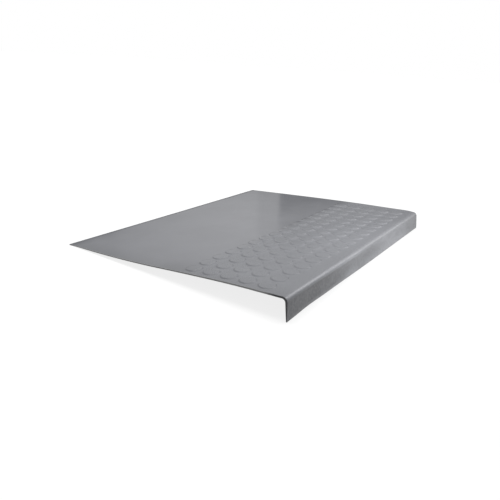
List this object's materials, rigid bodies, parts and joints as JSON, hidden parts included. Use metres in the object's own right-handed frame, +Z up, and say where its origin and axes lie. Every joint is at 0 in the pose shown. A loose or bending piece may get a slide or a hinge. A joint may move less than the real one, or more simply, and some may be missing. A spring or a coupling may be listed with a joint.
{
  "type": "rubber stair tread",
  "caption": "Moulded rubber stair tread: a thin tapering sheet with a square nosing flap at the front and a field of low round studs behind it.",
  "frame": {"origin": "centre of the bounding box, on the floor that the nosing's toe and the back edge stand on", "axes": "+X along the step, -Y the side that the nosing faces, +Z up; the walking surface slopes down 4.4 degrees to the back, because the unfixed tread stands on its toe and its back edge"},
  "size_m": [0.686, 0.5196, 0.0413],
  "materials": {
    "tread_rubber": "satin to glossy, mid grey"
  },
  "bodies": {
    "root": {"stair_tread": "tread_rubber"}
  },
  "joints": []
}
